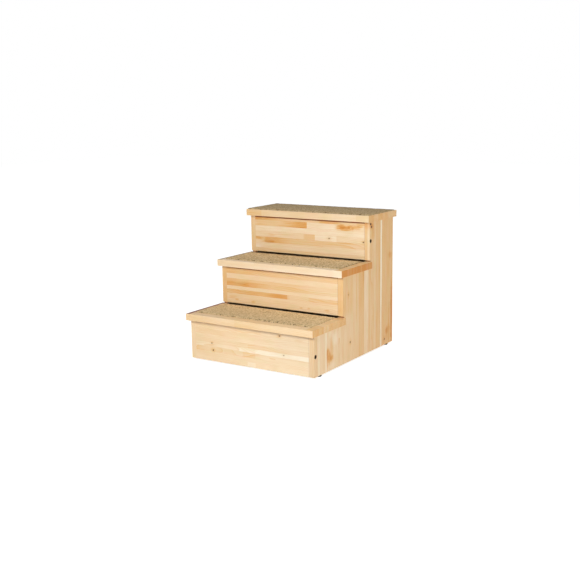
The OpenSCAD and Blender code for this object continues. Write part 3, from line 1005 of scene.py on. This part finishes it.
    def strand(self, root, direction, length, width, dark):
        """One loose yarn end: a bent four-sided spike, closed at its root and its tip."""
        rise = Vector((0, 0, 1))
        side = direction.cross(rise).normalized()
        bend = side * self.rng.uniform(-0.5, 0.5) + rise * self.rng.uniform(-0.5, 0.2)
        shade = self.rng.uniform()
        start = len(self.vertices)
        for share in (0.0, 0.5, 1.0):
            middle = root + direction * length * share + bend * length * share * share
            half = width * (1 - 0.55 * share) / 2
            for corner in (side, rise, -side, -rise):
                self.add_point(middle + corner * half, shade, 0.3, dark)
        self.faces.append(tuple(start + i for i in (3, 2, 1, 0)))
        self.faces.append(tuple(start + i for i in (8, 9, 10, 11)))
        for ring in (0, 4):
            for turn in range(4):
                after = (turn + 1) % 4
                self.faces.append(tuple(start + ring + i for i in (
                    turn, after, after + 4, turn + 4)))

    def add_strands(self):
        """Loose yarn ends along the cut edges, in clumps with bare stretches between."""
        rim = self.rim_places()
        outwards = edges(-self.along, self.along, -self.back, self.back)
        clump = self.rng.uniform(0, 1, len(rim) // CLUMP + 1)
        for place, (u, v, side) in enumerate(rim):
            if clump[place // CLUMP] < 0.45 or self.rng.uniform() > 0.35:
                continue
            height = self.top[u, v] * self.rng.uniform(0.3, 0.8)
            across = outwards[side].cross(Vector((0, 0, 1)))
            direction = (outwards[side] + across * self.rng.uniform(-0.8, 0.8)).normalized()
            root = self.point(self.u[u, v], self.v[u, v], height) - direction * 0.4
            self.strand(root, direction, self.rng.uniform(1.0, 2.2),
                        self.rng.uniform(0.5, 0.85), self.rng.choice((0.0, 0.2, 0.8)))

    def to_piece(self, name):
        """The finished mesh as an object, with its shades as point attributes."""
        mesh = bpy.data.meshes.new(name)
        mesh.from_pydata([vertex * MM for vertex in self.vertices], [], self.faces)
        for layer_name, values in self.layers.items():
            layer = mesh.attributes.new(layer_name, "FLOAT", "POINT")
            layer.data.foreach_set("value", np.array(values, np.float32))
        mesh.polygons.foreach_set("use_smooth", [True] * len(mesh.polygons))
        mesh.update()
        return put(name, mesh)


def carpet_material(step, mat):
    """Khaki looped wool: flecked yarn with painted shade between the loops, dark where it has
    burst, and darker edges with a painted contact shadow at the rear.
    """
    low, high = local(f"{step}_mat")
    graph = Graph(f"{step}_khaki_carpet")
    x, y, z = graph.place()
    shade = graph.attribute("shade")
    crevice_shade = graph.attribute("crevice_shade")
    dark = graph.attribute("dark")
    patch = graph.noise(x / 40, y / 40, 1.0) - 0.5
    mottle = graph.noise(x / 4.5, y / 7, float(mat.seed), 3.0) - 0.5
    fleck = graph.noise(x / 0.9, y / 0.9, z / 0.9)
    twist = graph.noise((x + y) / 0.35, (x - y) / 1.4, z / 0.4, 1.0) - 0.5
    tone = shade * 0.5 + fleck * 0.42 + patch * 0.2 + mottle * (mat.mottle * 3)
    colour = graph.ramp(tone.clamp(), YARN_TONES)
    # Painted shade between the loops and down the cut edges
    colour = graph.mix(crevice_shade.smooth(0.35, 1.0) * 0.55, colour, CREVICE_SHADE_BROWN)
    # Painted shade: the tints scale the colour from front to rear and darken the upper mat most
    front, rear = mat.shade_tints
    share = ((y - low.y) / (high.y - low.y)).clamp()
    shade_tint = share * (rear - front) + front
    colour = graph.mix(1.0, colour, graph.vector(shade_tint, shade_tint, shade_tint), "MULTIPLY")
    # dark carries the burst pile and the darkened edges, with the painted contact shadow along
    # the rear
    burst = (dark + (fleck - 0.5) * 0.7).smooth(0.25, 1.0) * 0.9
    colour = graph.mix(burst, colour, BACKING_BROWN)
    return graph.finish(colour, 0.95, twist + fleck, relief_mm=0.25, specular_ior_level=0.1)


def make_mats():
    """Puts a looped mat in the place of each plain slab."""
    for step, mat in MATS.items():
        node = f"{step}_mat"
        pile = Pile(node, mat)
        pile.lay_top()
        pile.close_rim()
        pile.add_strands()
        piece = pile.to_piece(f"{step}_mat_pile")
        piece.data.materials.append(carpet_material(step, mat))
        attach(piece, "root")
        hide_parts(node)


# ---- rubber, steel, beech

def rubber_material():
    """Matt black rubber with a little dust in it."""
    graph = Graph("black_rubber")
    x, y, z = graph.place()
    grain = graph.noise(x / 0.5, y / 0.5, z / 0.5, 3.0)
    dust = graph.noise(x / 4, y / 4, z / 2).smooth(0.5, 0.8)
    colour = graph.mix(dust * 0.2, linear(3, 3, 3), linear(22, 20, 18))
    return graph.finish(colour, 0.78 + grain * 0.2, grain, relief_mm=0.05,
                        specular_ior_level=0.1)


def steel_material(name, dull, bright, roughness):
    """Turned and plated steel with fine scratches and a little tarnish."""
    graph = Graph(name)
    x, y, z = graph.place()
    lines = graph.noise(x / 0.12, y / 0.12, z / 1.5) - 0.5
    tarnish = graph.noise(x / 2.2, y / 2.2, z / 2.2, 3.0)
    colour = graph.mix(tarnish.smooth(0.35, 0.7), dull, bright)
    return graph.finish(colour, roughness + lines * 0.2, lines, relief_mm=0.02,
                        metallic=1.0)


def beech_material():
    """Turned beech: short dark ray flecks along the dowel."""
    graph = Graph("dowel_beech")
    x, y, z = graph.place()
    flecks = graph.noise(x / 0.5, y / 0.5, z / 2.5).smooth(0.55, 0.7)
    cloud = graph.noise(x / 7, y / 7, z / 20)
    colour = graph.mix(cloud, linear(206, 160, 118), linear(226, 186, 146))
    colour = graph.mix(flecks * 0.4, colour, linear(150, 104, 70))
    return graph.finish(colour, 0.6, flecks, relief_mm=0.03)


def make_hardware():
    """Dresses the feet, screws, dowels and nails, by how each node's name ends."""
    zinc = steel_material(
        "zinc_plated_steel", linear(150, 148, 140), linear(214, 214, 208), 0.3)
    bronzed = steel_material(
        "dark_bronzed_steel", linear(40, 26, 20), linear(84, 62, 50), 0.42)
    materials = {"foot": rubber_material(), "dowels": beech_material(), "nails": zinc,
                 "screws": zinc}
    for node in NODES:
        kind = node.split("_")[-1]
        if kind in materials:
            dress(node, materials[kind])
    dress("riser_screws", bronzed)


# ---- the studio

# Angles in degrees, places in metres
CAMERA_AZIMUTH = 33.15
CAMERA_ELEVATION = 11.30
CAMERA_ROLL = -0.856
CAMERA_DISTANCE = 2.5082
CAMERA_LENS = 56.58
CAMERA_AIM = Vector((-0.0014, -0.0175, 0.1760))
MIDDLE = Vector((0, 0, 0.18))
UPPER_PART = Vector((0, 0, 0.26))
AMBIENT = 0.40
WARM = (1.0, 0.94, 0.84)
COOL = (0.96, 0.99, 1.0)
WHITE = (1.0, 1.0, 1.0)
FLOOR_REACH = 8.0
# How far inside the block's sides, front and rear the floor stops glowing
FLOOR_SHADE = (18, 35, 21)


def make_camera():
    """Looks from the front right, with the slight roll of a held camera."""
    data = bpy.data.cameras.new("camera")
    data.lens = CAMERA_LENS
    data.sensor_width = 36.0
    camera = put("camera", data)
    view = (CAMERA_AZIMUTH, CAMERA_ELEVATION, CAMERA_DISTANCE)
    camera.location = CAMERA_AIM + from_angles(*view)
    azimuth, elevation = math.radians(CAMERA_AZIMUTH), math.radians(CAMERA_ELEVATION)
    level = Euler((math.radians(90) - elevation, 0, azimuth)).to_matrix()
    roll = Euler((0, 0, math.radians(CAMERA_ROLL))).to_matrix()
    camera.rotation_euler = (level @ roll).to_euler()
    bpy.context.scene.camera = camera


def make_lamp(name, direction, aim, size, power, colour):
    """A square soft box. direction is its azimuth, elevation and distance."""
    data = bpy.data.lights.new(name, "AREA")
    data.shape = "SQUARE"
    data.size = size
    data.energy = power
    data.color = colour
    lamp = put(name, data)
    lamp.location = MIDDLE + from_angles(*direction)
    lamp.rotation_euler = (aim - lamp.location).to_track_quat("-Z", "Y").to_euler()


def lift_for_camera(tree, unseen, seen):
    """A strength that is unseen as light on the object, and seen when looked at."""
    path = tree.nodes.new("ShaderNodeLightPath")
    lift = tree.nodes.new("ShaderNodeMapRange")
    lift.inputs["To Min"].default_value = unseen
    lift.inputs["To Max"].default_value = seen
    tree.links.new(path.outputs["Is Camera Ray"], lift.inputs["Value"])
    return lift.outputs[0]


def make_floor():
    """White paper that glows a little, but not beneath the block, where it would show."""
    mesh = bpy.data.meshes.new("studio_floor")
    signs = ((-1, -1), (1, -1), (1, 1), (-1, 1))
    corners = [(x * FLOOR_REACH, y * FLOOR_REACH, 0) for x, y in signs]
    mesh.from_pydata(corners, [], [(0, 1, 2, 3)])
    floor = put("studio_floor", mesh)
    graph = Graph("floor_paper")
    x, y, _ = graph.place()
    fibre = graph.noise(x / 3, y / 3, 0.0)
    colour = graph.mix(fibre * 0.04, (0.74, 0.74, 0.74), (0.70, 0.70, 0.69))
    low, high = (corner / MM for corner in map(Vector, CAD_BOUNDS))
    side, front, rear = FLOOR_SHADE
    beneath = x.abs().below(high.x - side) * y.above(low.y + front) * y.below(high.y - rear)
    glow = Signal(graph, lift_for_camera(graph.tree, 0.11, 0.72)) * (1.0 - beneath)
    mesh.materials.append(graph.finish(colour, 0.9, emission_color=(1, 1, 1, 1),
                                       emission_strength=glow))


def make_sky():
    """A soft white surround that lights the object gently and looks pure white itself."""
    world = bpy.data.worlds.new("studio")
    world.use_nodes = True
    background = world.node_tree.nodes["Background"]
    background.inputs["Color"].default_value = (1, 1, 1, 1)
    strength = lift_for_camera(world.node_tree, AMBIENT, 1.0)
    world.node_tree.links.new(strength, background.inputs["Strength"])
    bpy.context.scene.world = world


def from_angles(azimuth, elevation, distance):
    """A step from the middle: azimuth turns from the front towards the right side."""
    tilt = Euler((math.radians(-elevation), 0, math.radians(azimuth)))
    return tilt.to_matrix() @ Vector((0, -distance, 0))


def make_studio():
    """A white surround, a cool key from the front and a warm fill from the right."""
    bpy.context.scene.view_settings.view_transform = "Standard"
    make_sky()
    make_floor()
    make_lamp("key", (12, 26, 1.8), UPPER_PART, 0.45, 17, COOL)
    make_lamp("side", (82, 14, 2.2), MIDDLE, 0.8, 12.5, WARM)
    make_lamp("rear", (205, 35, 2.4), MIDDLE, 1.2, 6, WHITE)


make_boards()
make_mats()
make_hardware()
make_studio()
make_camera()
